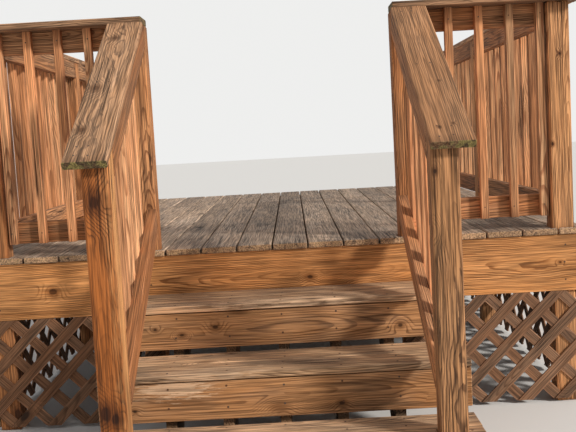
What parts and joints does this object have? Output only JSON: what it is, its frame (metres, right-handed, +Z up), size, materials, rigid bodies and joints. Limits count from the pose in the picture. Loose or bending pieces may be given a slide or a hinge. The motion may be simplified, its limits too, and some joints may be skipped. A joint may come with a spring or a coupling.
{
  "type": "wooden deck stairs",
  "caption": "Raised wooden deck with a straight flight of stairs, square-baluster guards with flat caps, and crossed-slat lattice skirts under the deck.",
  "frame": {"origin": "on the ground, in the middle of the whole deck and flight", "axes": "+Z up, +Y from the foot of the stairs towards the wall that the deck stands against, +X to the right of a person who climbs the stairs"},
  "size_m": [2.528, 4.081, 1.672],
  "materials": {
    "rim": "weathered, oiled softwood",
    "framing": "weathered, oiled softwood",
    "decking": "weathered, oiled softwood",
    "posts": "weathered, oiled softwood",
    "guards": "weathered, oiled softwood",
    "caps": "weathered, oiled softwood",
    "treads": "weathered, oiled softwood",
    "risers": "weathered, oiled softwood",
    "lattice": "weathered, oiled softwood"
  },
  "bodies": {
    "root": {"front_rim": "rim", "left_rim": "rim", "right_rim": "rim", "ledger_board": "framing", "floor_joists": "framing", "deck_boards_front": "decking", "deck_boards_rear": "decking", "left_corner_post": "posts", "right_corner_post": "posts", "left_stair_top_post": "posts", "right_stair_top_post": "posts", "left_mid_post": "posts", "right_mid_post": "posts", "left_rear_post": "posts", "right_rear_post": "posts", "left_foot_post": "posts", "right_foot_post": "posts", "left_front_guard": "guards", "right_front_guard": "guards", "left_side_guard": "guards", "right_side_guard": "guards", "left_stair_guard": "guards", "right_stair_guard": "guards", "left_front_cap": "caps", "right_front_cap": "caps", "left_side_cap": "caps", "right_side_cap": "caps", "left_stair_cap": "caps", "right_stair_cap": "caps", "stair_stringers": "framing", "tread_1": "treads", "tread_2": "treads", "tread_3": "treads", "riser_2": "risers", "riser_3": "risers", "riser_4": "risers", "left_front_lattice": "lattice", "right_front_lattice": "lattice", "left_side_lattice": "lattice", "right_side_lattice": "lattice"}
  },
  "joints": []
}
